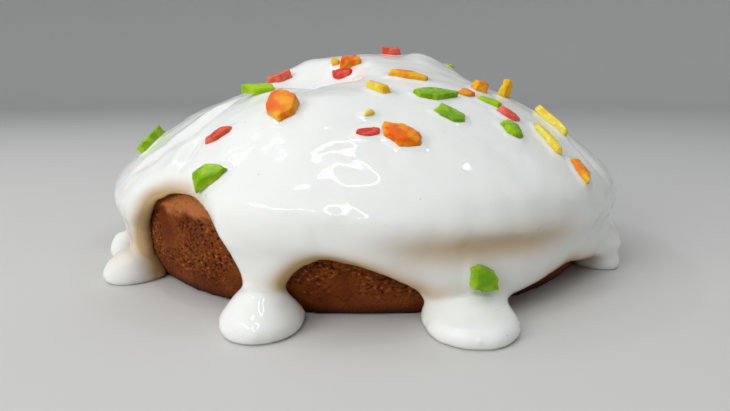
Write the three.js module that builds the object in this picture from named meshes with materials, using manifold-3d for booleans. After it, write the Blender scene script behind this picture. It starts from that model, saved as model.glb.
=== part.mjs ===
// Kulich: a low, round festive loaf under white icing. The icing has run down the side between open arches,
// and each run has settled on the table in a small round pool. Chips of candied fruit lie over the crown.
// Millimetres, +Z up. The origin is the middle of the base, and the side with the two near pools faces -Y.

import * as THREE from "three";
import { ConvexGeometry } from "three/addons/geometries/ConvexGeometry.js";
import { LoftGeometry } from "three/addons/geometries/LoftGeometry.js";
import { mergeVertices } from "three/addons/utils/BufferGeometryUtils.js";
import Module from "manifold-3d";

const wasm = await Module();
wasm.setup();

// Driving dimensions
const LOAF_RADIUS = 100.5; // at the belly, the widest place
const LOAF_HEIGHT = 78;
const ICING = 4; // thickness over the crown
const ICING_FOOT = 0.8; // share of that thickness left at the foot
const LIP = 2.4; // extra thickness where the icing rolls over the belly
const LIP_HEIGHT = 30;
const LIP_SPREAD = 5.5;
const GAP = 0.3; // between separate pieces that lie on each other
const LIFT_STEP = 0.1; // by which a chip is lifted until it lies clear of the icing

// The loaf's side from the edge of its flat underside to the crown, as shares of its radius and height
const SIDE = [
  [0.935, 0],
  [0.962, 0.035],
  [0.982, 0.16],
  [0.995, 0.28],
  [1, 0.36],
  [0.95, 0.475],
  [0.83, 0.594],
  [0.648, 0.735],
  [0.37, 0.88],
  [0.16, 0.975],
  [0, 1],
];
const CROWN_END = 0.97; // share of the side's length where the crown closes in a small flat

// Broad swells and hollows of the crown: place, rise and spread. They fade in between two heights.
const SWELLS = [
  { x: -18, y: -62, rise: 3, spread: 20 },
  { x: -18, y: -36, rise: -6, spread: 15 },
  { x: -20, y: 0, rise: 2.5, spread: 16 },
  { x: 13, y: 12, rise: 2, spread: 20 },
  { x: 25, y: 8, rise: 1.5, spread: 12 },
  { x: 52, y: 30, rise: -2.5, spread: 24 },
  { x: -30, y: 50, rise: 2, spread: 28 },
  { x: 58, y: -40, rise: 1.2, spread: 26 },
];

const SWELL_HEIGHTS = [23, 47];

// Arches that the icing leaves open, by angle round the loaf from the near side: two feet and the crest
const ARCHES = [
  { left: -168, crest: -155, right: -144, height: 31 },
  { left: -134, crest: -122, right: -110, height: 17 },
  { left: -100, crest: -88, right: -74, height: 29 },
  { left: -66, crest: -62.5, right: -59, height: 20 },
  { left: -49.5, crest: -34, right: -21.3, height: 34.5, rounding: 2.6 },
  { left: -13.8, crest: -6, right: 9.6, height: 19.8, rounding: 1.6 },
  { left: 26, crest: 41, right: 57, height: 9, rounding: 1.6 },
  { left: 65.5, crest: 77, right: 90, height: 27 },
  { left: 99, crest: 113, right: 124, height: 15 },
  { left: 133, crest: 146, right: 158, height: 33 },
  { left: 168, crest: 176, right: 183, height: 12 },
];
const ARCH_FOOT = 4; // height below which an arch stands straight
const ARCH_ROUNDING = 2.1; // 2 makes each side of an arch a quarter of an ellipse, less makes it leaner

// Pools of the runs, one after each arch: how far the pool reaches from the axis, half its width,
// how many degrees it lies aside from its run, how far a lobe above it swells out, and its own height
const POOLS = [
  { reach: 113, half: 10 },
  { reach: 115, half: 11.5 },
  { reach: 111, half: 8 },
  { reach: 114.5, half: 9.5 },
  { reach: 117.5, half: 11.7, aside: 1.2 },
  { reach: 120.5, half: 13.5, aside: -1.4, rise: 8.5 },
  { reach: 110.5, half: 6.8, aside: 0.8, lobe: 8 },
  { reach: 114, half: 10.5 },
  { reach: 116, half: 12 },
  { reach: 113, half: 9.5 },
  { reach: 112, half: 9 },
];
const POOL_BELLY = 3.4; // height where a pool is widest
const POOL_FOOT = 0.86; // share of that width where it meets the table
const POOL_RISE = 11; // height where a pool has narrowed into its run, unless it has its own
const POOL_WRAP = 155; // degrees of the pool's round on each side of its nose
const POOL_BACK = 88; // distance from the axis where a pool ends, hidden in the loaf
const LOBE_WIDTH = 5; // degrees
const LOBE_HEIGHT = 6;
const RUN_BULGE = 1.6; // how far the middle of a run stands out from the icing round it
const EDGE_ROUND = 5; // distance over which an edge rounds off against the crust

// Faces of the icing: heights of its rows in the pools, shares of the way up to an arch's crest,
// steps along the side above the crest, and the rows from there over the crown
const POOL_ROWS = [0, 0.7, 1.8, POOL_BELLY, 4.8, 6.2, 7.6, 9.2, POOL_RISE];
const ARCH_ROWS = [0.28, 0.52, 0.72, 0.87, 0.96, 1];
const EDGE_ROWS = [0.008, 0.02, 0.036];
const CROWN_ROWS = 12;
const CROWN_CROWDING = 1.2; // above 1 sets the rows closer together near the belly
const RUN_COLUMNS = 15;
const ARCH_COLUMNS = [0.2, 0.5, 0.8];
const ARCH_SINK = 2; // how deep an open arch dips into the loaf, which cuts it away

// Candied fruit of the near side, laid by hand: angle, distance from the axis, length, width, turn
const CHIPS = [
  { colour: "red", angle: 112, out: 12.6, length: 8.5, width: 6, turn: 20, thick: 3.4 },
  { colour: "amber", angle: -15, out: 22.5, length: 9, width: 5, turn: 10, thick: 3.4 },
  { colour: "red", angle: -19, out: 28.2, length: 9, width: 4.5, turn: 175 },
  { colour: "yellow", angle: -33, out: 22.5, length: 4, width: 3.5, turn: 100, thick: 3 },
  { colour: "red", angle: -60.5, out: 41, length: 10, width: 6, turn: 30, thick: 3 },
  { colour: "green", angle: -42.5, out: 58, length: 12, width: 6, turn: 172, thick: 3 },
  { colour: "amber", angle: -21.2, out: 73, length: 12.5, width: 9.5, turn: 120, thick: 3.4 },
  { colour: "red", angle: -34.5, out: 83.5, length: 11, width: 5, turn: 20 },
  { colour: "green", angle: -65.5, out: 91, length: 17, width: 5, turn: 85, thick: 3.4 },
  { colour: "green", angle: -28.5, out: 98, length: 10.5, width: 7.5, turn: 25 },
  { colour: "amber", angle: 21.5, out: 43.4, length: 14, width: 5, turn: 0 },
  { colour: "yellow", angle: 5, out: 56, length: 10.5, width: 5, turn: 135, thick: 3 },
  { colour: "green", angle: 24.5, out: 59, length: 14, width: 8.5, turn: 35 },
  { colour: "green", angle: 22.8, out: 72.3, length: 11, width: 6, turn: 150 },
  { colour: "amber", angle: 37.2, out: 60.3, length: 5.5, width: 4.5, turn: 45 },
  { colour: "amber", angle: 51.5, out: 56, length: 7.5, width: 6.5, turn: 120, thick: 3.6 },
  { colour: "green", angle: 42, out: 66.5, length: 9, width: 5, turn: 160 },
  { colour: "yellow", angle: 59.5, out: 63, length: 7, width: 4, turn: 60, thick: 7.5 },
  { colour: "red", angle: 41.5, out: 75.2, length: 8, width: 3.5, turn: 150 },
  { colour: "green", angle: 36.5, out: 81.5, length: 8.5, width: 5.5, turn: 140 },
  { colour: "yellow", angle: 60, out: 81, length: 19, width: 3.5, turn: 116, thick: 3 },
  { colour: "yellow", angle: 46, out: 87, length: 17, width: 3.5, turn: 115 },
  { colour: "amber", angle: 46, out: 99, length: 10, width: 5, turn: 125 },
  { colour: "red", angle: 0.7, out: 80.6, length: 7, width: 3.6, turn: 14 },
  { colour: "amber", angle: 8, out: 82, length: 11.6, width: 8.5, turn: 2, thick: 3 },
  { colour: "green", angle: 18.5, up: 14.5, length: 8.5, width: 7.5, turn: 30 },
  { colour: "yellow", angle: 1, out: 73, length: 3.5, width: 2.5, turn: 60 },
  { colour: "green", angle: 96, out: 37, length: 4.5, width: 3, turn: 0, thick: 1.8 },
];
// The far side repeats every other chip of the lower slopes, turned past the axis
const FAR_TURN = 168;
const FAR_OUT = 45;
const CHIP_THICKNESS = 2.4; // of a chip with no thickness of its own
const CHIP_CORNERS = 6;
const CHIP_JOG = 0.5; // share of a corner's step by which it may be out of place
const CHIP_FULLNESS = 1.1; // size of the block that the corners are taken from
const CHIP_TOPS = [0.75, 1.25]; // least and greatest height of a corner, as shares of the thickness
const CHIP_SLANTS = [0.7, 1]; // least and greatest draw of a top corner towards the middle
const CHIP_UNEVEN = 0.25; // greatest height of a corner of the underside
const CHIP_SEED = 7;

const COLOURS = {
  loaf: { color: 0x5a2d18, roughness: 0.85 },
  icing: { color: 0xf2f1ec, roughness: 0.18 },
  red: { color: 0xd8352f, roughness: 0.35 },
  amber: { color: 0xef8412, roughness: 0.35 },
  yellow: { color: 0xe9c62a, roughness: 0.35 },
  green: { color: 0x6fb31a, roughness: 0.35 },
};

const radians = THREE.MathUtils.degToRad;
const { smoothstep, lerp, clamp } = THREE.MathUtils;
const UP = new THREE.Vector3(0, 0, 1);
const side = new THREE.SplineCurve(
  SIDE.map(([out, up]) => new THREE.Vector2(out * LOAF_RADIUS, up * LOAF_HEIGHT)),
);

// A point at an angle round the axis, counted from -Y towards +X
function around(angle, radius, height) {
  return new THREE.Vector3(Math.sin(angle) * radius, -Math.cos(angle) * radius, height);
}

// How far the crown swells or sinks at a place
function swell(x, y, height) {
  const sum = SWELLS.reduce((total, s) => {
    const away = Math.hypot(x - s.x, y - s.y) / s.spread;
    return total + s.rise * Math.exp(-away * away);
  }, 0);
  return sum * smoothstep(height, ...SWELL_HEIGHTS);
}

// A point on the loaf's side at a share of the way from foot to crown, lifted off the crust
function onLoaf(angle, share, lift) {
  const at = side.getPointAt(share);
  const along = side.getTangentAt(share);
  const bare = around(angle, at.x, at.y);
  const rise = lift + swell(bare.x, bare.y, at.y);
  return around(angle, Math.max(at.x + along.y * rise, 0), at.y - along.x * rise);
}

// The share of the way up the side where the crust passes a height
function shareAtHeight(height) {
  let low = 0;
  let high = 1;
  while (high - low > 1e-4) {
    const middle = (low + high) / 2;
    if (side.getPointAt(middle).y < height) low = middle;
    else high = middle;
  }
  return low;
}

// A loft or a hull as a solid that can be joined and cut
function solidOf(geometry) {
  const bare = new THREE.BufferGeometry().copy(geometry);
  bare.deleteAttribute("normal");
  bare.deleteAttribute("uv");
  const merged = mergeVertices(bare, 1e-3);
  const corners = merged.index.array;
  const triVerts = [];
  for (let i = 0; i < corners.length; i += 3) {
    const [a, b, c] = corners.slice(i, i + 3);
    if (a !== b && b !== c && c !== a) triVerts.push(a, b, c);
  }
  return new wasm.Manifold(
    new wasm.Mesh({
      numProp: 3,
      vertProperties: merged.attributes.position.array,
      triVerts: new Uint32Array(triVerts),
    }),
  );
}

function geometryOf(solid) {
  const { vertProperties, triVerts } = solid.getMesh();
  const geometry = new THREE.BufferGeometry();
  geometry.setAttribute("position", new THREE.BufferAttribute(vertProperties, 3));
  geometry.setIndex(new THREE.BufferAttribute(triVerts, 1));
  geometry.computeVertexNormals();
  return geometry;
}

function loft(rings) {
  return solidOf(new LoftGeometry(rings, { capStart: true, capEnd: true }));
}

function ring(columns, point) {
  return Array.from({ length: columns }, (_, i) => point((i / columns) * 2 * Math.PI));
}

// The loaf, grown all round by a lift
function makeLoaf(lift) {
  const columns = 60;
  const rows = 14;
  const rings = Array.from({ length: rows }, (_, row) =>
    ring(columns, (angle) => onLoaf(angle, (row / (rows - 1)) * CROWN_END, lift)),
  );
  rings[0].forEach((point) => (point.z = -lift));
  return loft(rings);
}

// The icing's thickness at a height: full on the crown, rolled over the belly, thinner below it
function thickness(height) {
  const roll = Math.exp(-(((height - LIP_HEIGHT) / LIP_SPREAD) ** 2));
  return ICING * lerp(ICING_FOOT, 1, smoothstep(height, 0, LIP_HEIGHT)) + LIP * roll;
}

// How far an arch is still open at a height, from 1 at its feet to 0 at its crest
function opening(arch, height) {
  const rise = clamp((height - ARCH_FOOT) / (arch.height - ARCH_FOOT), 0, 1);
  return Math.sqrt(1 - rise ** (arch.rounding ?? ARCH_ROUNDING));
}

// Distance from an arch's outline to a place outside it, measured away from the middle of its foot
function distanceFrom(arch, degrees, height) {
  const reach = degrees < arch.crest ? arch.crest - arch.left : arch.right - arch.crest;
  const across = (degrees - arch.crest) / reach;
  const rise = Math.max(height - ARCH_FOOT, 0) / (arch.height - ARCH_FOOT);
  const away = Math.sqrt(across ** 2 + rise ** (arch.rounding ?? ARCH_ROUNDING));
  const length = Math.hypot(across * radians(reach) * LOAF_RADIUS, rise * (arch.height - ARCH_FOOT));
  return Math.max(length * (1 - 1 / Math.max(away, 1)), 0);
}

// A thickness rounded off towards an edge, down to just inside the gap over the crust
function rounded(thick, fromEdge) {
  const edge = 1 - clamp(fromEdge / EDGE_ROUND, 0, 1);
  return thick * Math.sqrt(1 - edge ** 2) - GAP * edge;
}

// An arch and the one after it round the loaf, with angles that go on rising past half a turn
function archPair(i) {
  const { left, crest, right, ...rest } = ARCHES[(i + 1) % ARCHES.length];
  const by = i + 1 < ARCHES.length ? 0 : 360;
  return [ARCHES[i], { left: left + by, crest: crest + by, right: right + by, ...rest }];
}

// A point of a run between two arches: across goes from -1 to 1, shares tell how far up the side it is
function runPoint(i, across, shares) {
  const [before, after] = archPair(i);
  const share = lerp(...shares, (across + 1) / 2);
  const height = side.getPointAt(share).y;
  const from = before.crest + (before.right - before.crest) * opening(before, height);
  const to = after.crest - (after.crest - after.left) * opening(after, height);
  const degrees = lerp(from, to, (across + 1) / 2);
  const inward = Math.min(distanceFrom(before, degrees, height), distanceFrom(after, degrees, height));
  const bulge = RUN_BULGE * (1 - across ** 2) * (1 - smoothstep(height, POOL_RISE, LIP_HEIGHT));
  const cover = rounded(thickness(height) + bulge, inward) + lobe(i, degrees, height);
  const strip = onLoaf(radians(degrees), share, cover);
  const rise = POOLS[i].rise ?? POOL_RISE;
  return strip.lerp(poolPoint(i, across, height), 1 - smoothstep(height, POOL_BELLY, rise));
}

// Extra swelling of a run just above its pool
function lobe(i, degrees, height) {
  const aside = (degrees - poolAngle(i)) / LOBE_WIDTH;
  const above = (height - POOL_RISE) / LOBE_HEIGHT;
  return (POOLS[i].lobe ?? 0) * Math.exp(-(aside ** 2) - above ** 2);
}

function poolAngle(i) {
  const [before, after] = archPair(i);
  return (before.right + after.left) / 2 + (POOLS[i].aside ?? 0);
}

// A point on the round of a pool, tucked in a little where it meets the table and drawn out under the loaf
function poolPoint(i, across, height) {
  const { reach, half } = POOLS[i];
  const foot = half * lerp(POOL_FOOT, 1, Math.sqrt(clamp(height / POOL_BELLY, 0, 1)));
  const turn = radians(POOL_WRAP) * across;
  const behind = reach - half - POOL_BACK;
  const nose = Math.cos(turn) * (Math.cos(turn) > 0 ? foot : behind);
  const flat = new THREE.Vector3(foot * Math.sin(turn), half - reach - nose, height);
  return flat.applyAxisAngle(UP, radians(poolAngle(i)));
}

// Points across an arch: inside the crust where it is open, and all at one place above its crest
function archPoints(arch, share) {
  const height = side.getPointAt(share).y;
  const open = opening(arch, height);
  const over = rounded(thickness(height), distanceFrom(arch, arch.crest, height));
  return ARCH_COLUMNS.map((across) => {
    const degrees = arch.crest + open * (lerp(arch.left, arch.right, across) - arch.crest);
    return onLoaf(radians(degrees), share, open > 0 ? -ARCH_SINK : over);
  });
}

// How far up the side each row of the icing lies where it passes an arch
function rowShares(arch) {
  const crest = Math.max(arch.height, POOL_RISE + 2);
  const pools = POOL_ROWS.map(shareAtHeight);
  const sides = ARCH_ROWS.map((up) => shareAtHeight(lerp(POOL_RISE, crest, up)));
  const edges = EDGE_ROWS.map((step) => sides.at(-1) + step);
  const crown = Array.from({ length: CROWN_ROWS }, (_, i) => {
    return lerp(edges.at(-1), CROWN_END, ((i + 1) / CROWN_ROWS) ** CROWN_CROWDING);
  });
  return [...pools, ...sides, ...edges, ...crown];
}

// The outside of the icing as one closed skin, filled in to the axis; its columns pair up over the crown
function makeCoat() {
  const steps = Array.from({ length: RUN_COLUMNS }, (_, i) => (2 * i) / (RUN_COLUMNS - 1) - 1);
  const paired = steps.map((_, i) => steps[i - (i % 2)]);
  const shares = ARCHES.map(rowShares);
  const rings = shares[0].map((_, row) =>
    ARCHES.flatMap((arch, i) => {
      const pair = [shares[i][row], shares[(i + 1) % ARCHES.length][row]];
      const across = row < shares[0].length - CROWN_ROWS ? steps : paired;
      return [...archPoints(arch, pair[0]), ...across.map((step) => runPoint(i, step, pair))];
    }),
  );
  return loft(rings);
}

function makeIcing() {
  const pieces = makeCoat().subtract(makeLoaf(GAP)).decompose();
  return pieces.reduce((best, piece) => (piece.volume() > best.volume() ? piece : best));
}

// Repeatable random numbers from 0 to 1
function randomFrom(seed) {
  let state = seed;
  return () => {
    state = (state * 1664525 + 1013904223) % 4294967296;
    return state / 4294967296;
  };
}

// A cut chip of candied fruit lying on the XY plane: an uneven block with its corners knocked about
function makeChip(chip, random) {
  const points = [];
  for (let i = 0; i < CHIP_CORNERS; i++) {
    const turn = ((i + CHIP_JOG * random()) / CHIP_CORNERS) * 2 * Math.PI;
    const square = CHIP_FULLNESS / Math.max(Math.abs(Math.cos(turn)), Math.abs(Math.sin(turn)));
    const x = (chip.length / 2) * square * Math.cos(turn);
    const y = (chip.width / 2) * square * Math.sin(turn);
    const top = (chip.thick ?? CHIP_THICKNESS) * lerp(...CHIP_TOPS, random());
    const slant = lerp(...CHIP_SLANTS, random());
    points.push(new THREE.Vector3(x, y, CHIP_UNEVEN * random()));
    points.push(new THREE.Vector3(x * slant, y * slant, top));
  }
  return new ConvexGeometry(points);
}

// Sets a chip down on the icing, seen from above or, low on a run, from outside
function layChip(geometry, chip, icing, solid) {
  const angle = radians(chip.angle);
  const caster = new THREE.Raycaster();
  if (chip.up === undefined) {
    caster.set(around(angle, chip.out, 2 * LOAF_HEIGHT), new THREE.Vector3(0, 0, -1));
  } else {
    caster.set(around(angle, 2 * LOAF_RADIUS, chip.up), around(angle, -1, 0));
  }
  const [hit] = caster.intersectObject(icing);
  const upright = new THREE.Quaternion().setFromUnitVectors(UP, hit.face.normal);
  const turned = new THREE.Quaternion().setFromAxisAngle(UP, radians(chip.turn));
  const mesh = new THREE.Mesh(geometry);
  mesh.quaternion.copy(upright).multiply(turned);
  for (let lift = GAP; ; lift += LIFT_STEP) {
    mesh.position.copy(hit.point).addScaledVector(hit.face.normal, lift);
    mesh.updateMatrix();
    const placed = solidOf(geometry.clone().applyMatrix4(mesh.matrix));
    if (placed.intersect(solid).isEmpty()) return mesh;
  }
}

function material(name) {
  return new THREE.MeshStandardMaterial({ ...COLOURS[name], metalness: 0 });
}

function makeKulich() {
  const kulich = new THREE.Group();
  const loaf = new THREE.Mesh(geometryOf(makeLoaf(0)), material("loaf"));
  loaf.name = "loaf";
  const icingSolid = makeIcing();
  const icing = new THREE.Mesh(geometryOf(icingSolid), material("icing"));
  icing.name = "icing";
  kulich.add(loaf, icing);

  const far = CHIPS.filter((chip, i) => chip.out > FAR_OUT && i % 2 === 0).map((chip) => {
    return { ...chip, angle: chip.angle + FAR_TURN };
  });
  const random = randomFrom(CHIP_SEED);
  const count = {};
  [...CHIPS, ...far].forEach((chip) => {
    const mesh = layChip(makeChip(chip, random), chip, icing, icingSolid);
    count[chip.colour] = (count[chip.colour] ?? 0) + 1;
    mesh.name = `fruit_${chip.colour}_${count[chip.colour]}`;
    mesh.material = material(chip.colour);
    kulich.add(mesh);
  });

  // The pools reach out unevenly, so the whole is moved to put the origin under the middle of its box
  const box = new THREE.Box3().setFromObject(kulich);
  const middle = box.getCenter(new THREE.Vector3());
  kulich.children.forEach((piece) => piece.position.sub(new THREE.Vector3(middle.x, middle.y, 0)));
  return kulich;
}

export default makeKulich();
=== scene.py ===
"""The looks of a kulich: a dark baked loaf under glossy white icing, with chips of candied fruit.

Metres, +Z up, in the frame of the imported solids. Each solid is replaced by a finer piece of its own shape.
"""

import math

import bmesh
import bpy
import numpy
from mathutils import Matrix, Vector, noise
from mathutils.bvhtree import BVHTree
from mathutils.geometry import intersect_point_line
from mathutils.kdtree import KDTree


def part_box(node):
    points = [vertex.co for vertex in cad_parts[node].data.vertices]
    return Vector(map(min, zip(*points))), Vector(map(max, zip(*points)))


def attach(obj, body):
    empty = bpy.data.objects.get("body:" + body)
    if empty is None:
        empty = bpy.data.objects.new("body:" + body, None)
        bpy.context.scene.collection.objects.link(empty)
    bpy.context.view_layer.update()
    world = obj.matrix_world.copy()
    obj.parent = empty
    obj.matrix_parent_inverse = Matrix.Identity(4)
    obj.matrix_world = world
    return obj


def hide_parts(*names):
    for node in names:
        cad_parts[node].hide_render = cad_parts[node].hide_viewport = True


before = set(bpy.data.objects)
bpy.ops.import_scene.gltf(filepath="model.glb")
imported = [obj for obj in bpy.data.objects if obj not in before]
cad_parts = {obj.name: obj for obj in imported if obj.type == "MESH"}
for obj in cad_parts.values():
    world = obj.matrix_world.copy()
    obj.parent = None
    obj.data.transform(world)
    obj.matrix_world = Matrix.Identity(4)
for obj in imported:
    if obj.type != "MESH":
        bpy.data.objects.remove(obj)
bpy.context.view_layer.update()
loaf_low, loaf_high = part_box("loaf")
AXIS = Vector(((loaf_low[0] + loaf_high[0]) / 2, (loaf_low[1] + loaf_high[1]) / 2, 0))

MM = 0.001
MERGE_DISTANCE = 0.01 * MM
SMOOTH_FACTOR = 0.5

# Camera, worked out from the photograph's 730 by 411 pixels
IMAGE_WIDTH = 730
FOCAL_PIXELS = 500
SENSOR_WIDTH = 36
CAMERA_BACK = 234 * MM
CAMERA_HEIGHT = 66 * MM
CAMERA_PITCH = 12.8
CAMERA_NEAREST = 10 * MM

# Shape of the icing. A pair of limits gives where an effect comes in or fades out.
ICING_VOXEL = 1.05 * MM
ICING_SMOOTHING = 5
ICING_SETTLING = 3
ICING_FULLER = 0.5 * MM
FULLER_HEIGHTS = (6 * MM, 14 * MM)
OUTSIDE_SLANTS = (-0.6, 0)
CROWN_HEIGHTS = (25 * MM, 42 * MM)
CROWN_SMOOTHING = 140
WAVES = [(0.45 * MM, 23 * MM), (0.22 * MM, 8 * MM), (0.06 * MM, 3.5 * MM)]
MENISCUS_RISE = 0.45 * MM
MENISCUS_REACH = 2.2 * MM
EDGE_COVER = (0.3 * MM, 1.6 * MM)
EDGE_PRESS = 0.7 * MM
INSIDE_SLANT = -0.5
INSIDE_RATIO = 0.62

# Warm tint of the icing's thin edges: partly the crust showing through, partly painted shade, kept to the
# sides turned from the light and off faces that look up
TAN_AND_SHADE_REACH = (2.5 * MM, 7.5 * MM)
PAINTED_SHADE_SIDE = (-0.9, -0.1)
TAN_AND_SHADE_SLANTS = (0, 0.7)
TAN_AND_SHADE_SOFTENING = 16

# Pools at the foot of the runs, by their angles round the loaf from the near side
POOL_ANGLES = [-139, -105, -70, -54, -16.5, 16.5, 62, 94.5, 128.5, 163, -172.5]
POOL_HEIGHTS = (13 * MM, 19 * MM)
POOL_SMOOTHING = 24
POOL_LIFT = 3 * MM
POOL_LIFT_WIDTH = 7 * MM
POOL_LIFT_HEIGHTS = (9 * MM, 14 * MM)
POOL_LIFT_REACH = (103 * MM, 118 * MM)
POOL_LIFT_SLANTS = (0.4, 0.9)
NECK_HEIGHT = 7.5 * MM
NECK_SPREAD = 3 * MM
NECK_FULLER = 0.9 * MM
BELLY_HEIGHT = 1.2 * MM
BELLY_SPREAD = 2.2 * MM
BELLY_RISE = 1.3 * MM

# Folds where the icing flowed over itself, as straight grooves seen from above.
# Each end is an angle round the loaf from the near side, in degrees, and a distance from the axis.
FOLDS = [
    {"start": (-54, 58 * MM), "end": (-48, 92 * MM), "depth": 1.5 * MM, "width": 3.5 * MM},
    {"start": (-43, 82 * MM), "end": (-37, 99 * MM), "depth": 1.1 * MM, "width": 2.8 * MM},
    {"start": (-48, 92 * MM), "end": (-55, 101 * MM), "depth": 0.8 * MM, "width": 2.5 * MM},
    {"start": (-60, 50 * MM), "end": (6, 35 * MM), "depth": 3 * MM, "width": 8 * MM},
    {"start": (63, 84 * MM), "end": (54, 104 * MM), "depth": 1.2 * MM, "width": 3 * MM},
    {"start": (150, 60 * MM), "end": (158, 92 * MM), "depth": 1.3 * MM, "width": 3.5 * MM},
    {"start": (-140, 74 * MM), "end": (-131, 98 * MM), "depth": 1.2 * MM, "width": 3 * MM},
]
# The lip beside a fold, in depths and widths of the fold, and the share of its length that fades at each end
FOLD_LIP_RISE = 0.5
FOLD_LIP_ASIDE = 1.6
FOLD_FADE = 0.3

# Edges of arches that hang lower: angle, half its reach in degrees, how much lower
DROPS = [
    {"angle": -35, "reach": 12, "down": 2 * MM},
    {"angle": 5, "reach": 6, "down": 1.5 * MM},
    {"angle": 77, "reach": 10, "down": 1.2 * MM},
    {"angle": -88, "reach": 10, "down": 1.2 * MM},
    {"angle": 146, "reach": 10, "down": 1.5 * MM},
]
DROP_SLANTS = (0.1, 0.6)
DROP_HEIGHTS = (10 * MM, 14 * MM)

# Lumps and dips of the crown: place from the axis, half the size across and along, rise
LUMPS = [
    {"place": (31 * MM, 10 * MM), "size": (13 * MM, 26 * MM), "rise": 3.8 * MM},
    {"place": (8 * MM, 8 * MM), "size": (12 * MM, 26 * MM), "rise": -1 * MM},
    {"place": (-12 * MM, 6 * MM), "size": (10 * MM, 26 * MM), "rise": -1.6 * MM},
    {"place": (-54 * MM, 4 * MM), "size": (15 * MM, 40 * MM), "rise": -1.6 * MM},
]

# Hollows under the rolled lip and on a thin run, tinted warm: painted shade under the lip, and on the thin
# run partly the crust showing through and partly painted shade.
# angle and half its reach in degrees, height, half its height, depth, strength of the tint
HOLLOWS = [
    {"angle": 21, "reach": 17, "height": 23 * MM, "spread": 4.2 * MM, "depth": 2.2 * MM, "tan_and_shade": 0.52},
    {"angle": -51, "reach": 5.5, "height": 15 * MM, "spread": 6 * MM, "depth": 0.3 * MM, "tan_and_shade": 0.38},
    {"angle": 128, "reach": 16, "height": 23 * MM, "spread": 3.5 * MM, "depth": 1.5 * MM, "tan_and_shade": 0.6},
    {"angle": -105, "reach": 14, "height": 23 * MM, "spread": 3.5 * MM, "depth": 1.5 * MM, "tan_and_shade": 0.6},
]

# Shape of the loaf and its crust
LOAF_VOXEL = 2 * MM
LOAF_SMOOTHING = 20
LOAF_FOOT = (1.5 * MM, 7 * MM)
CRUST_TOP = 41 * MM
CRUST_CUTS = 3
CRUST_SETTLING = 2
COVER_LIMIT = 15 * MM
CRUMB_LENGTH = 1.15 * MM
CRUMB_FLATTEN = 1.5
CRUMB_RISE = 0.3 * MM
CRUMB_CONTRAST = 1.7
CRUMB_ROUGHNESS = 1.0
CRUMB_STEP = 2.0
CRUMB_OCTAVES = 2
CRUMB_PATCH = 13 * MM
CRUMB_PATCH_LIMITS = (-0.6, 0)
CRUMB_FOOT = (2 * MM, 11 * MM)
RIDGE_HEIGHT = 29.5 * MM
RIDGE_RISE = 0.8 * MM
RIDGE_WIDTH = 0.9 * MM
RIDGE_WANDER = 2 * MM
RIDGE_WANDER_LENGTH = 15 * MM
UPPER_CALM = 0.8
UPPER_CALM_HEIGHTS = (0.9 * RIDGE_HEIGHT, RIDGE_HEIGHT)

# Shape of the candied fruit
CHIP_VOXEL = 0.32 * MM
CHIP_SMOOTHING = 1
CHIP_SINK = 0.8 * MM
CHIP_DROP = 15 * MM
CHIP_BEND = 1.5 * MM
CHIP_WARPS = [(0.6 * MM, 5 * MM), (0.35 * MM, 2.4 * MM), (0.2 * MM, 0.9 * MM)]
CHIP_SEED = 11
# Chips that stand higher or lower, as shares of their height
STANDS = {"fruit_red_1": 1.2, "fruit_amber_2": 1.3, "fruit_amber_7": 0.9, "fruit_green_8": 1.5}

# Finish of the icing
ICING_WHITE = (0.86, 0.865, 0.835)
# Warm colour of thin icing over the crust, also used as painted shade on edges turned from the light and in
# the hollows under the lip
ICING_TAN_AND_SHADE = (0.55, 0.37, 0.17)
TAN_AND_SHADE_STRENGTH = 1.8
ICING_SHEEN = {"Size": 25 * MM, "Softness": 0.25}
ICING_ROUGHNESS = (0.04, 0.08)
BUBBLES = {"Spacing": 7 * MM, "Radius": 0.45 * MM, "Share": 0.5}
# Painted shade darkening the inside of each bubble pit
BUBBLE_PAINTED_SHADE = (0.45, 0.43, 0.38)
BUBBLE_SHADE_SHARE = 0.35
BUBBLE_BUMP = {"Strength": 0.6, "Distance": 0.4 * MM}
ICING_SURFACE = {
    "Subsurface Weight": 0.35,
    "Subsurface Radius": (1.0, 0.75, 0.5),
    "Subsurface Scale": 3.5 * MM,
    "IOR": 1.48,
}

# Finish of the crust, with painted shade in its pits and holes and a painted contact shadow along its foot
CRUST_DARK = (0.137, 0.028, 0.005)
CRUST_BROWN = (0.23, 0.056, 0.011)
CRUST_UPPER = (0.47, 0.16, 0.050)
# Painted contact shadow along the foot, where it meets the floor
CRUST_FOOT_SHADOW = (0.05, 0.009, 0.002)
CRUST_GOLDEN = (0.45, 0.17, 0.046)
# Painted shade for the crust's pits and holes
CRUST_PIT_SHADE = (0.030, 0.008, 0.003)
CRUST_HOLE_SHADE = (0.05, 0.012, 0.004)
BLOTCHES = {"Size": 9 * MM, "Softness": 0.2}
FINE_GRAIN = {"Size": 0.9 * MM, "Softness": 0.14}
HOLES = {"Spacing": 1.2 * MM, "Radius": 0.42 * MM, "Share": 0.6}
HOLE_SHADE_SHARE = 0.75
UPPER_RAGGEDNESS = 3 * MM
UPPER_HEIGHTS = (28.6 * MM, 30.8 * MM)
# Heights over which the painted contact shadow fades out
FOOT_SHADOW_HEIGHTS = (5 * MM, 0.6 * MM)
GOLDEN_CRUMBS = (0.2, 1.0)
# How deep a pit must be to take painted shade
PIT_SHADE_CRUMBS = (-0.15, -0.8)
CRUST_ROUGHNESS = (0.5, 0.75)
CRUST_BUMP = {"Strength": 0.7, "Distance": 0.35 * MM}
CRUST_SURFACE = {"Specular IOR Level": 0.08}

# Finish of the candied fruit, from its deep tone to its light tone
CANDIED = {
    "red": ((0.66, 0.035, 0.018), (0.82, 0.18, 0.11)),
    "amber": ((0.80, 0.13, 0.0), (0.92, 0.46, 0.015)),
    "yellow": ((0.80, 0.44, 0.0), (0.85, 0.72, 0.10)),
    "green": ((0.17, 0.38, 0.0), (0.38, 0.60, 0.006)),
}
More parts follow.
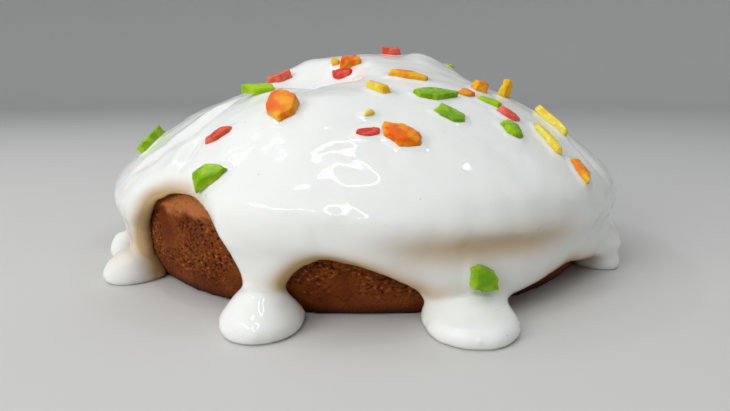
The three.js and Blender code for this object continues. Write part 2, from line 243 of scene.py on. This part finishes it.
# Chips that are darker or lighter than the middle tone, from 0 to 1
TONES = {
    "fruit_red_2": 0.3, "fruit_red_3": 0.8, "fruit_red_5": 0.8, "fruit_red_6": 0.1,
    "fruit_amber_1": 0.35, "fruit_amber_3": 0.95, "fruit_amber_4": 0.3, "fruit_amber_6": 0.85,
    "fruit_amber_7": 0.4, "fruit_yellow_3": 0.25, "fruit_yellow_4": 0.8, "fruit_yellow_5": 1,
    "fruit_green_1": 1, "fruit_green_2": 0.7, "fruit_green_3": 0.7, "fruit_green_4": 0.35,
    "fruit_green_6": 0.7, "fruit_green_8": 0.2,
}
MIDDLE_TONE = 0.5
# Painted glow: how much lighter a chip is towards its foot, as if lit through from the icing below
CHIP_FOOT_GLOW = 0.45
CANDIED_SHADES = {"Size": 5 * MM, "Softness": 0.14}
CANDIED_SHADE_LIMITS = (-0.45, 0.45)
CANDIED_GRAIN = {"Size": 0.9 * MM, "Softness": 0.2}
CANDIED_ROUGHNESS = (0.1, 0.32)
CANDIED_BUMP = {"Strength": 0.35, "Distance": 0.15 * MM}
CANDIED_SURFACE = {
    "Subsurface Weight": 0.7,
    "Subsurface Radius": (1.0, 0.8, 0.5),
    "Subsurface Scale": 2 * MM,
    "Specular IOR Level": 0.22,
}

# Clouds that the uneven finishes are made of
CLOUD_DETAIL = 4.0
CLOUD_ROUGHNESS = 0.55
CLOUD_MIDDLE = 0.5

# Where a Mix node keeps its factor, its two colours and their mix, counted from 0
MIX_FACTOR = 0
MIX_FIRST = 6
MIX_SECOND = 7
MIX_RESULT = 2

# Stage
STAGE_RADIUS = 3.0
STAGE_BEND = 0.8
STAGE_HEIGHT = 2.5
STAGE_BEND_STEPS = 8
STAGE_SIDES = 64
FLOOR_COLOUR = (0.62, 0.61, 0.59)
FLOOR_ROUGHNESS = 0.7

# Lights: powers in watts, and the glow of straight lamps in watts a square metre
ROOM_COLOUR = (0.9, 0.95, 1)
ROOM_STRENGTH = 0.6
LIGHT_AIM = Vector((0, 0, 0.04))
SOFT_LIGHTS = [
    {"name": "overhead", "place": (-0.45, 0.1, 1.2), "size": 1.0, "power": 0.5},
    {"name": "front", "place": (-1.05, -0.85, 0.55), "size": 0.8, "power": 9.2},
]
SMALL_LAMPS = [
    {"name": "lamp_left", "place": (-0.58, 0.25, 0.8), "size": 0.06, "power": 0.5},
    {"name": "lamp_right", "place": (0.45, 0.1, 0.9), "size": 0.04, "power": 0.3},
    {"name": "lamp_second", "place": (-0.47, 0.12, 0.95), "size": 0.045, "power": 0.2},
    {"name": "lamp_third", "place": (-0.30, -0.2, 0.95), "size": 0.06, "power": 0.25},
]
RING_LAMPS = [
    {"name": "ring_above", "middle": (-0.06, -0.05, 1.0), "radii": (0.12, 0.12), "tube": 0.012},
    {"name": "ring_front", "middle": (-0.14, -0.66, 0.85), "radii": (0.11, 0.3), "tube": 0.016},
]
BAR_LAMP = {"name": "bar_front", "place": (-0.52, -0.45, 0.8), "turn": -0.85, "length": 0.45, "tube": 0.024}
RING_BARS = 14
LAMP_GLOW = 65


def smoothstep(value, low, high):
    """0 below low, 1 above high, with a soft step between them."""
    share = min(max((value - low) / (high - low), 0), 1)
    return share * share * (3 - 2 * share)


def add_to_scene(item):
    bpy.context.scene.collection.objects.link(item)


def piece_from(shape, name):
    mesh = bpy.data.meshes.new(name)
    shape.to_mesh(mesh)
    shape.free()
    piece = bpy.data.objects.new(name, mesh)
    add_to_scene(piece)
    return piece


def copy_of(node, name):
    """A new piece with a solid's shape, its loose triangles merged."""
    shape = bmesh.new()
    shape.from_mesh(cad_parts[node].data)
    bmesh.ops.remove_doubles(shape, verts=shape.verts, dist=MERGE_DISTANCE)
    return piece_from(shape, name)


def shape_with(piece, kind, **settings):
    """Shapes a piece with one modifier, makes the result its mesh and drops its weights."""
    modifier = piece.modifiers.new(kind.lower(), kind)
    for name, value in settings.items():
        setattr(modifier, name, value)
    depsgraph = bpy.context.evaluated_depsgraph_get()
    shaped = bpy.data.meshes.new_from_object(piece.evaluated_get(depsgraph))
    piece.modifiers.clear()
    piece.data = shaped
    piece.vertex_groups.clear()


def weigh(piece, weight):
    """The name of a new vertex group, with a weight worked out from each vertex's place and normal."""
    group = piece.vertex_groups.new(name="weight")
    for vertex in piece.data.vertices:
        group.add([vertex.index], weight(vertex.co, vertex.normal), "REPLACE")
    return group.name


def remesh(piece, voxel):
    shape_with(piece, "REMESH", mode="VOXEL", voxel_size=voxel)


def smooth(piece, iterations, weight=None):
    """Smooths a piece, everywhere or by a weight."""
    group = "" if weight is None else weigh(piece, weight)
    shape_with(piece, "SMOOTH", factor=SMOOTH_FACTOR, iterations=iterations, vertex_group=group)


def displace(piece, shift):
    """Moves each vertex by a shift worked out from its place and normal."""
    vertices = piece.data.vertices
    shifts = [shift(vertex.co, vertex.normal) for vertex in vertices]
    for vertex, by in zip(vertices, shifts):
        vertex.co += by


def note(piece, name, values):
    """Notes a value for each vertex of a piece, for its material to read."""
    attribute = piece.data.attributes.new(name, "FLOAT", "POINT")
    attribute.data.foreach_set("value", values)


def shade_smooth(piece):
    for polygon in piece.data.polygons:
        polygon.use_smooth = True


def tree_of(*pieces):
    """A search tree over the faces of some pieces."""
    shape = bmesh.new()
    for piece in pieces:
        shape.from_mesh(piece.data)
    tree = BVHTree.FromBMesh(shape)
    shape.free()
    return tree


def height_over(tree, place):
    """How far a place is outside a closed surface, below 0 inside it, with the surface's normal there."""
    nearest, normal, _, distance = tree.find_nearest(place)
    outside = (place - nearest).dot(normal) >= 0
    return (distance if outside else -distance), normal


def around(angle, out):
    """A place on the floor plan, by its angle from the near side and its distance from the loaf's axis."""
    turn = math.radians(angle)
    return AXIS + Vector((math.sin(turn) * out, -math.cos(turn) * out, 0))


def angle_of(place):
    offset = place - AXIS
    return math.degrees(math.atan2(offset.x, -offset.y))


def finish_piece(piece, material, node):
    piece.data.materials.clear()
    piece.data.materials.append(material)
    shade_smooth(piece)
    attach(piece, "root")
    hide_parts(node)


# Icing

def make_icing(loaf_tree):
    """The icing, with its facets smoothed away and the folds, hollows and waves of its outside."""
    icing = copy_of("icing", "icing_coat")
    remesh(icing, ICING_VOXEL)
    smooth(icing, ICING_SMOOTHING)
    smooth(icing, CROWN_SMOOTHING, lambda place, _: smoothstep(place.z, *CROWN_HEIGHTS))
    folds = [(around(*fold["start"]), around(*fold["end"]), fold) for fold in FOLDS]

    def shift(place, normal):
        _, out = height_over(loaf_tree, place)
        outside = smoothstep(normal.dot(out), *OUTSIDE_SLANTS)
        if outside == 0:
            return Vector()
        rise = ICING_FULLER * smoothstep(place.z, *FULLER_HEIGHTS)
        rise += drop_length(place, normal) + pool_rise(place) + pool_lift(place, normal)
        if normal.z > 0:
            rise += sum(fold_rise(place, *fold) for fold in folds)
            rise += sum(lump_rise(place, lump) for lump in LUMPS)
        rise -= sum(hollow["depth"] * hollow_share(place, hollow) for hollow in HOLLOWS)
        return normal * rise * outside

    displace(icing, shift)
    smooth(icing, ICING_SETTLING)
    smooth(icing, POOL_SMOOTHING, lambda place, _: 1 - smoothstep(place.z, *POOL_HEIGHTS))
    displace(icing, lambda place, normal: normal * wave_rise(place))
    return icing


def wave_rise(place):
    return sum(height * noise.noise(place / length) for height, length in WAVES)


def pool_rise(place):
    """The bell of each pool: wide at its foot, and full where it narrows into the run."""
    belly = BELLY_RISE * math.exp(-((place.z - BELLY_HEIGHT) / BELLY_SPREAD) ** 2)
    neck = NECK_FULLER * math.exp(-((place.z - NECK_HEIGHT) / NECK_SPREAD) ** 2)
    return belly + neck


def pool_lift(place, normal):
    """Fills the flat top of a pool in front of its run, so that it slopes down to its front."""
    top = smoothstep(normal.z, *POOL_LIFT_SLANTS) * (1 - smoothstep(place.z, *POOL_LIFT_HEIGHTS))
    if top == 0:
        return 0
    out = (place.xy - AXIS.xy).length
    angle = angle_of(place)
    aside = out * math.radians(min(abs(angle - middle) for middle in POOL_ANGLES)) / POOL_LIFT_WIDTH
    return POOL_LIFT * top * math.exp(-aside ** 2) * (1 - smoothstep(out, *POOL_LIFT_REACH))


def drop_length(place, normal):
    """How much lower the edge of an arch hangs at a place."""
    edge = smoothstep(-normal.z, *DROP_SLANTS) * smoothstep(place.z, *DROP_HEIGHTS)
    if edge == 0:
        return 0
    angle = angle_of(place)
    down = 0
    for drop in DROPS:
        down += drop["down"] * math.exp(-((angle - drop["angle"]) / drop["reach"]) ** 2)
    return edge * down


def lump_rise(place, lump):
    across = (place.x - AXIS.x - lump["place"][0]) / lump["size"][0]
    along = (place.y - AXIS.y - lump["place"][1]) / lump["size"][1]
    return lump["rise"] * math.exp(-across ** 4 - along ** 2)


def fold_rise(place, start, end, fold):
    """A groove with a rounded lip along one side, fading out at both ends."""
    flat = Vector((place.x, place.y, 0))
    on_line, share = intersect_point_line(flat, start, end)
    if not 0 < share < 1:
        return 0
    side = (end - start).normalized().cross(Vector((0, 0, 1)))
    aside = (flat - on_line).dot(side) / fold["width"]
    fade = smoothstep(share, 0, FOLD_FADE) * (1 - smoothstep(share, 1 - FOLD_FADE, 1))
    lip = FOLD_LIP_RISE * math.exp(-(aside - FOLD_LIP_ASIDE) ** 2)
    return fold["depth"] * fade * (lip - math.exp(-aside ** 2))


def hollow_share(place, hollow):
    """How much of a hollow there is at a place, 1 in its middle."""
    aside = (angle_of(place) - hollow["angle"]) / hollow["reach"]
    above = (place.z - hollow["height"]) / hollow["spread"]
    return math.exp(-aside ** 4 - above ** 2)


def wet_chips(icing, chips_tree):
    """Draws the icing up a little round each chip."""
    def shift(place, normal):
        *_, distance = chips_tree.find_nearest(place)
        return normal * MENISCUS_RISE * (1 - smoothstep(distance, 0, MENISCUS_REACH))

    displace(icing, shift)


def press_edges(icing, loaf_tree):
    """Presses the icing's edges onto the crust, and lifts what is under the floor onto it."""
    def shift(place, normal):
        cover, out = height_over(loaf_tree, place)
        press = out * EDGE_PRESS * (1 - smoothstep(cover, *EDGE_COVER))
        lift = max(0, -place.z)
        return Vector((0, 0, lift)) - press

    displace(icing, shift)


def thin_inside(icing, loaf_tree):
    """Takes away most of the triangles that lie against the loaf, where nothing shows."""
    def inside(place, normal):
        _, out = height_over(loaf_tree, place)
        return float(normal.dot(out) < INSIDE_SLANT)

    shape_with(icing, "DECIMATE", ratio=INSIDE_RATIO, vertex_group=weigh(icing, inside))


def note_tan_and_shade(icing, bare):
    """Notes the warm tint of the icing's thin edges near bare crust, partly the crust showing through and
    partly painted shade on the sides turned from the light, and the painted shade of the hollows.
    """
    near = KDTree(len(bare))
    for index, place in bare.items():
        near.insert(place, index)
    near.balance()
    tan_and_shade_values = []
    for vertex in icing.data.vertices:
        *_, distance = near.find(vertex.co)
        # the side and slant limits keep this tint to faces in shade: painted shade
        edge = (1 - smoothstep(distance, *TAN_AND_SHADE_REACH)) * smoothstep(vertex.normal.x, *PAINTED_SHADE_SIDE)
        edge *= 1 - smoothstep(vertex.normal.z, *TAN_AND_SHADE_SLANTS)
        # the hollows' tint is painted shade
        hollows = [hollow["tan_and_shade"] * hollow_share(vertex.co, hollow) for hollow in HOLLOWS]
        tan_and_shade_values.append(max(edge, *hollows))
    note(icing, "tan_and_shade", soften(icing.data, tan_and_shade_values, TAN_AND_SHADE_SOFTENING))


def soften(mesh, values, rounds):
    """Blends the value at each vertex with its neighbours' values, a number of times."""
    ends = numpy.empty(2 * len(mesh.edges), dtype=numpy.int32)
    mesh.edges.foreach_get("vertices", ends)
    first = ends[0::2]
    second = ends[1::2]
    count = len(values)
    neighbours = numpy.bincount(ends, minlength=count)
    values = numpy.array(values)
    for _ in range(rounds):
        total = numpy.bincount(first, values[second], count) + numpy.bincount(second, values[first], count)
        values = (values + total / neighbours) / 2
    return values


# Loaf

def make_loaf():
    """The loaf, with its facets smoothed away above a foot that stays as wide as it was."""
    loaf = copy_of("loaf", "loaf_crust")
    remesh(loaf, LOAF_VOXEL)
    smooth(loaf, LOAF_SMOOTHING, lambda place, _: smoothstep(place.z, *LOAF_FOOT))
    return loaf


def in_crust_band(place):
    return 0 < place.z < CRUST_TOP


def bare_crust(loaf, icing_tree):
    """The places of the crust's vertices that have no icing over them, by the vertices' numbers."""
    bare = {}
    for vertex in loaf.data.vertices:
        if in_crust_band(vertex.co):
            hit, *_ = icing_tree.ray_cast(vertex.co, vertex.normal, COVER_LIMIT)
            if hit is None:
                bare[vertex.index] = vertex.co.copy()
    return bare


def roughen_crust(loaf, bare):
    """Gives the part of the crust that shows a fine mesh, patches of pits, grain and a ridge at the belly."""
    shape = bmesh.new()
    shape.from_mesh(loaf.data)
    edges = [edge for edge in shape.edges if any(vert.index in bare for vert in edge.verts)
             and all(in_crust_band(vert.co) for vert in edge.verts)]
    bmesh.ops.subdivide_edges(shape, edges=edges, cuts=CRUST_CUTS, use_grid_fill=True)
    shape.to_mesh(loaf.data)
    shape.free()
    smooth(loaf, CRUST_SETTLING)
    crumbs = [crumb_share(vertex.co) for vertex in loaf.data.vertices]
    displace(loaf, lambda place, normal: normal * (CRUMB_RISE * crumb_share(place) + ridge_rise(place)))
    note(loaf, "crumb", crumbs)


def crumb_share(place):
    """From -1 in a pit of the crust to 1 on a crumb. Both lie in patches, between the foot and the ridge."""
    if place.z > CRUST_TOP:
        return 0
    patch = smoothstep(noise.noise(place / CRUMB_PATCH), *CRUMB_PATCH_LIMITS)
    patch *= smoothstep(place.z, *CRUMB_FOOT)
    patch *= 1 - UPPER_CALM * smoothstep(place.z, *UPPER_CALM_HEIGHTS)
    squat = Vector((place.x, place.y, place.z * CRUMB_FLATTEN))
    rough = noise.fractal(squat / CRUMB_LENGTH, CRUMB_ROUGHNESS, CRUMB_STEP, CRUMB_OCTAVES)
    return patch * min(max(CRUMB_CONTRAST * rough, -1), 1)


def ridge_rise(place):
    """A low uneven ridge round the belly, where the upper crust begins."""
    height = RIDGE_HEIGHT + RIDGE_WANDER * noise.noise(place / RIDGE_WANDER_LENGTH)
    return RIDGE_RISE * math.exp(-((place.z - height) / RIDGE_WIDTH) ** 2)


# Candied fruit

def make_chip(node, icing_tree):
    """A chip of candied fruit, cut unevenly, its underside bedded in the icing."""
    chip = copy_of(node, node.replace("fruit", "chip"))
    remesh(chip, CHIP_VOXEL)
    smooth(chip, CHIP_SMOOTHING)
    places = [vertex.co for vertex in chip.data.vertices]
    middle = sum(places, Vector()) / len(places)
    _, out = height_over(icing_tree, middle)
    foot = min(place.dot(out) for place in places)
    level = bed_height(icing_tree, middle, out)
    stand = STANDS.get(node, 1)

    def shift(place, normal):
        warp = Vector()
        for height, length in CHIP_WARPS:
            warp += height * noise.noise_vector(place / length)
        warp -= out * warp.dot(out)
        bend = bed_height(icing_tree, place + warp, out) - level
        bed = level + min(max(bend, -CHIP_BEND), CHIP_BEND) - CHIP_SINK
        return warp + out * (bed + stand * (place.dot(out) - foot) - place.dot(out))

    displace(chip, shift)
    note_tone_and_glow(chip, node, out)
    return chip


def bed_height(icing_tree, place, out):
    """How far out the icing's surface lies under a place."""
    hit, *_ = icing_tree.ray_cast(place + out * CHIP_DROP, -out)
    return (hit or place).dot(out)


def note_tone_and_glow(chip, node, out):
    """Notes a chip's own tone, with a painted glow that makes it paler towards its foot."""
    heights = [vertex.co.dot(out) for vertex in chip.data.vertices]
    low = min(heights)
    high = max(heights)
    half_height = (low + high) / 2
    middle = TONES.get(node, MIDDLE_TONE)
    note(chip, "tone", [middle + CHIP_FOOT_GLOW * (half_height - height) / (high - low) for height in heights])


# Materials

def new_nodes(tree):
    """A short way to add nodes to a tree: make(kind, {input: value or output socket}, **settings)."""
    def make(kind, inputs=None, **settings):
        node = tree.nodes.new("ShaderNode" + kind)
        for name, value in settings.items():
            setattr(node, name, value)
        for name, value in (inputs or {}).items():
            if isinstance(value, bpy.types.NodeSocket):
                tree.links.new(value, node.inputs[name])
            else:
                node.inputs[name].default_value = value
        return node
    return make


def new_group(name, inputs, output):
    """An empty shader node group with number inputs and one number output."""
    group = bpy.data.node_groups.new(name, "ShaderNodeTree")
    for label in inputs:
        group.interface.new_socket(label, in_out="INPUT", socket_type="NodeSocketFloat")
    group.interface.new_socket(output, in_out="OUTPUT", socket_type="NodeSocketFloat")
    return group, new_nodes(group), group.nodes.new("NodeGroupInput")


def worked_out(make, operation, *values):
    """The result of a sum with sockets and numbers."""
    return make("Math", dict(enumerate(values)), operation=operation).outputs[0]


def mottle_group():
    """Soft uneven patches of a given size, from 0 to 1."""
    group, make, given = new_group("mottle", ["Size", "Softness"], "Mask")
    place = make("TexCoord").outputs["Object"]
    scale = worked_out(make, "DIVIDE", 1.0, given.outputs["Size"])
    cloud = make("TexNoise", {"Vector": place, "Scale": scale, "Detail": CLOUD_DETAIL,
                              "Roughness": CLOUD_ROUGHNESS})
    low = worked_out(make, "SUBTRACT", CLOUD_MIDDLE, given.outputs["Softness"])
    high = worked_out(make, "ADD", CLOUD_MIDDLE, given.outputs["Softness"])
    mask = make("MapRange", {"Value": cloud.outputs["Fac"], "From Min": low, "From Max": high},
                interpolation_type="SMOOTHSTEP")
    out = group.nodes.new("NodeGroupOutput")
    group.links.new(mask.outputs["Result"], out.inputs["Mask"])
    return group


def pits_group():
    """Small scattered round pits, 1 in their middle, of which only a share are there."""
    group, make, given = new_group("pits", ["Spacing", "Radius", "Share"], "Mask")
    place = make("TexCoord").outputs["Object"]
    scale = worked_out(make, "DIVIDE", 1.0, given.outputs["Spacing"])
    cells = make("TexVoronoi", {"Vector": place, "Scale": scale})
    size = worked_out(make, "DIVIDE", given.outputs["Radius"], given.outputs["Spacing"])
    depth = make("MapRange", {"Value": cells.outputs["Distance"], "From Min": 0.0, "From Max": size,
                              "To Min": 1.0, "To Max": 0.0}, interpolation_type="SMOOTHSTEP")
    chance = make("SeparateColor", {"Color": cells.outputs["Color"]}).outputs["Red"]
    there = worked_out(make, "LESS_THAN", chance, given.outputs["Share"])
    mask = worked_out(make, "MULTIPLY", depth.outputs["Result"], there)
    out = group.nodes.new("NodeGroupOutput")
    group.links.new(mask, out.inputs["Mask"])
    return group


def new_material(name):
    """A material, a way to add nodes to it and its Principled shader."""
    material = bpy.data.materials.new(name)
    material.use_nodes = True
    surface = material.node_tree.nodes["Principled BSDF"]
    return material, new_nodes(material.node_tree), surface


def feed(material, surface, **sockets):
    """Links outputs to the shader's inputs, named with underscores for spaces."""
    for name, socket in sockets.items():
        material.node_tree.links.new(socket, surface.inputs[name.replace("_", " ")])


def set_values(surface, values):
    for name, value in values.items():
        surface.inputs[name].default_value = value


def mask_of(make, group, values):
    return make("Group", values, node_tree=group).outputs["Mask"]


def noted(make, name):
    """A value that was noted for each vertex."""
    return make("Attribute", attribute_name=name).outputs["Fac"]


def share_of(make, value, limits):
    """From 0 where a value is at the first limit to 1 at the second."""
    return make("MapRange", {"Value": value, "From Min": limits[0], "From Max": limits[1]}).outputs["Result"]


def spread(make, mask, limits):
    """A mask of 0 to 1 spread out between two limits."""
    return make("MapRange", {"Value": mask, "To Min": limits[0], "To Max": limits[1]}).outputs["Result"]


def mixed(make, factor, first, second):
    """A mix of two colours, each given as numbers or as a socket."""
    inputs = {MIX_FACTOR: factor}
    for index, colour in ((MIX_FIRST, first), (MIX_SECOND, second)):
        inputs[index] = colour if isinstance(colour, bpy.types.NodeSocket) else (*colour, 1)
    return make("Mix", inputs, data_type="RGBA").outputs[MIX_RESULT]


def icing_material(mottle, pits):
    """Glossy white icing, warmer where it thins out over the crust, with painted shade on its thin edges
    turned from the light and in the hollows under its lip, and pinprick bubbles darkened by painted shade.
    """
    material, make, surface = new_material("icing")
    # warm tint of thin icing, partly painted shade
    tan_and_shade_share = make("Math", {0: noted(make, "tan_and_shade"), 1: TAN_AND_SHADE_STRENGTH}, operation="MULTIPLY", use_clamp=True)
    body = mixed(make, tan_and_shade_share.outputs[0], ICING_WHITE, ICING_TAN_AND_SHADE)
    bubbles = mask_of(make, pits, BUBBLES)
    # painted shade inside the bubbles
    body = mixed(make, worked_out(make, "MULTIPLY", bubbles, BUBBLE_SHADE_SHARE), body, BUBBLE_PAINTED_SHADE)
    roughness = spread(make, mask_of(make, mottle, ICING_SHEEN), ICING_ROUGHNESS)
    bump = make("Bump", {"Height": bubbles, **BUBBLE_BUMP}, invert=True)
    feed(material, surface, Base_Color=body, Roughness=roughness, Normal=bump.outputs["Normal"])
    set_values(surface, ICING_SURFACE)
    return material


def crust_material(mottle, pits):
    """Dark baked crust: blotched brown, with painted shade in its pits and holes and a painted contact shadow
    at its foot, golden crumbs, paler above the belly.
    """
    material, make, surface = new_material("crust")
    fine = mask_of(make, mottle, FINE_GRAIN)
    holes = mask_of(make, pits, HOLES)
    crumb = noted(make, "crumb")
    body = crust_body(make, mottle)
    golden = worked_out(make, "MULTIPLY", share_of(make, crumb, GOLDEN_CRUMBS), fine)
    body = mixed(make, golden, body, CRUST_GOLDEN)
    # painted shade in the pits and holes
    body = mixed(make, share_of(make, crumb, PIT_SHADE_CRUMBS), body, CRUST_PIT_SHADE)
    body = mixed(make, worked_out(make, "MULTIPLY", holes, HOLE_SHADE_SHARE), body, CRUST_HOLE_SHADE)
    bump = make("Bump", {"Height": worked_out(make, "SUBTRACT", fine, holes), **CRUST_BUMP})
    roughness = spread(make, fine, CRUST_ROUGHNESS)
    feed(material, surface, Base_Color=body, Roughness=roughness, Normal=bump.outputs["Normal"])
    set_values(surface, CRUST_SURFACE)
    return material


def crust_body(make, mottle):
    """The crust's brown, from a painted contact shadow at its foot to the paler upper crust with its ragged
    edge.
    """
    place = make("TexCoord").outputs["Object"]
    height = make("SeparateXYZ", {0: place}).outputs["Z"]
    blotch = mask_of(make, mottle, BLOTCHES)
    ragged = worked_out(make, "MULTIPLY_ADD", blotch, UPPER_RAGGEDNESS, height)
    body = mixed(make, blotch, CRUST_DARK, CRUST_BROWN)
    body = mixed(make, share_of(make, ragged, UPPER_HEIGHTS), body, CRUST_UPPER)
    # painted contact shadow at the foot
    return mixed(make, share_of(make, height, FOOT_SHADOW_HEIGHTS), body, CRUST_FOOT_SHADOW)


def candied_material(name, mottle):
    """Candied fruit: clear and bright, shading between two tones by each chip's own tone, uneven patches and
    a painted glow towards its foot, with a fine grain of sugar.
    """
    deep, light = CANDIED[name]
    material, make, surface = new_material("candied_" + name)
    uneven = spread(make, mask_of(make, mottle, CANDIED_SHADES), CANDIED_SHADE_LIMITS)
    grain = mask_of(make, mottle, CANDIED_GRAIN)
    # the noted value carries the chip's own tone and a painted glow towards its foot
    blend = make("Math", {0: noted(make, "tone"), 1: uneven}, operation="ADD", use_clamp=True)
    body = mixed(make, blend.outputs[0], deep, light)
    roughness = spread(make, grain, CANDIED_ROUGHNESS)
    bump = make("Bump", {"Height": grain, **CANDIED_BUMP})
    feed(material, surface, Base_Color=body, Roughness=roughness, Normal=bump.outputs["Normal"])
    set_values(surface, CANDIED_SURFACE)
    return material


def floor_material():
    material, _, surface = new_material("pale_floor")
    set_values(surface, {"Base Color": (*FLOOR_COLOUR, 1), "Roughness": FLOOR_ROUGHNESS})
    return material


# Stage, light and camera

def make_stage():
    """A pale floor that curves up into a wall all round."""
    shape = bmesh.new()
    flat = STAGE_RADIUS - STAGE_BEND
    points = [Vector((0, 0, 0)), Vector((flat, 0, 0))]
    for step in range(1, STAGE_BEND_STEPS + 1):
        turn = math.radians(90) * step / STAGE_BEND_STEPS
        out = flat + STAGE_BEND * math.sin(turn)
        up = STAGE_BEND - STAGE_BEND * math.cos(turn)
        points.append(Vector((out, 0, up)))
    points.append(Vector((STAGE_RADIUS, 0, STAGE_HEIGHT)))
    verts = [shape.verts.new(point) for point in points]
    edges = [shape.edges.new(pair) for pair in zip(verts, verts[1:])]
    bmesh.ops.spin(shape, geom=verts + edges, axis=(0, 0, 1), cent=(0, 0, 0), angle=2 * math.pi,
                   steps=STAGE_SIDES, use_merge=True)
    bmesh.ops.remove_doubles(shape, verts=shape.verts, dist=MERGE_DISTANCE)
    bmesh.ops.recalc_face_normals(shape, faces=shape.faces)
    stage = piece_from(shape, "floor")
    shade_smooth(stage)
    stage.data.materials.append(floor_material())


def new_light(name, shape, place, size, power):
    data = bpy.data.lights.new(name, "AREA")
    data.shape = shape
    data.size = size
    data.energy = power
    light = bpy.data.objects.new(name, data)
    light.location = place
    add_to_scene(light)
    return light


def round_light(name, place, size, power, mirrored):
    """A round light that points at the kulich, with or without a mirror image of it in glossy things."""
    light = new_light(name, "DISK", place, size, power)
    light.visible_glossy = mirrored
    light.rotation_euler = (LIGHT_AIM - Vector(place)).to_track_quat("-Z", "Y").to_euler()


def bar_lamp(name, place, turn, length, tube):
    """A straight lamp that points down."""
    light = new_light(name, "RECTANGLE", place, length, LAMP_GLOW * length * tube)
    light.data.size_y = tube
    light.rotation_euler = (0, 0, turn)


def ring_lamp(name, middle, radii, tube):
    """A round or oval ring of straight lamps."""
    corners = []
    for step in range(RING_BARS):
        turn = 2 * math.pi * step / RING_BARS
        corners.append(Vector(middle) + Vector((radii[0] * math.cos(turn), radii[1] * math.sin(turn), 0)))
    for step, corner in enumerate(corners):
        along = corners[step - 1] - corner
        bar_lamp(f"{name}_{step}", corner + along / 2, math.atan2(along.y, along.x), along.length, tube)


def make_light():
    world = bpy.data.worlds.new("soft_room")
    bpy.context.scene.world = world
    world.use_nodes = True
    set_values(world.node_tree.nodes["Background"], {"Color": (*ROOM_COLOUR, 1), "Strength": ROOM_STRENGTH})
    for light in SOFT_LIGHTS:
        round_light(**light, mirrored=False)
    for ring in RING_LAMPS:
        ring_lamp(**ring)
    bar_lamp(**BAR_LAMP)
    for lamp in SMALL_LAMPS:
        round_light(**lamp, mirrored=True)
    bpy.context.scene.view_settings.view_transform = "Standard"


def make_camera():
    data = bpy.data.cameras.new("camera")
    data.sensor_width = SENSOR_WIDTH
    data.lens = SENSOR_WIDTH * FOCAL_PIXELS / IMAGE_WIDTH
    data.clip_start = CAMERA_NEAREST
    camera = bpy.data.objects.new("camera", data)
    camera.location = (AXIS.x, AXIS.y - CAMERA_BACK, CAMERA_HEIGHT)
    camera.rotation_euler = (math.radians(90 - CAMERA_PITCH), 0, 0)
    add_to_scene(camera)
    bpy.context.scene.camera = camera


def main():
    noise.seed_set(CHIP_SEED)
    make_camera()
    make_stage()
    make_light()
    mottle = mottle_group()
    pits = pits_group()

    loaf = make_loaf()
    loaf_tree = tree_of(loaf)
    icing = make_icing(loaf_tree)
    icing_tree = tree_of(icing)
    chips = {}
    for node in sorted(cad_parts):
        if node.startswith("fruit"):
            chips[node] = make_chip(node, icing_tree)
    wet_chips(icing, tree_of(*chips.values()))
    press_edges(icing, loaf_tree)
    thin_inside(icing, loaf_tree)
    icing_tree = tree_of(icing)
    roughen_crust(loaf, bare_crust(loaf, icing_tree))
    note_tan_and_shade(icing, bare_crust(loaf, icing_tree))

    finish_piece(loaf, crust_material(mottle, pits), "loaf")
    finish_piece(icing, icing_material(mottle, pits), "icing")
    candied = {kind: candied_material(kind, mottle) for kind in CANDIED}
    for node, chip in chips.items():
        kind = node.split("_")[1]
        finish_piece(chip, candied[kind], node)


main()
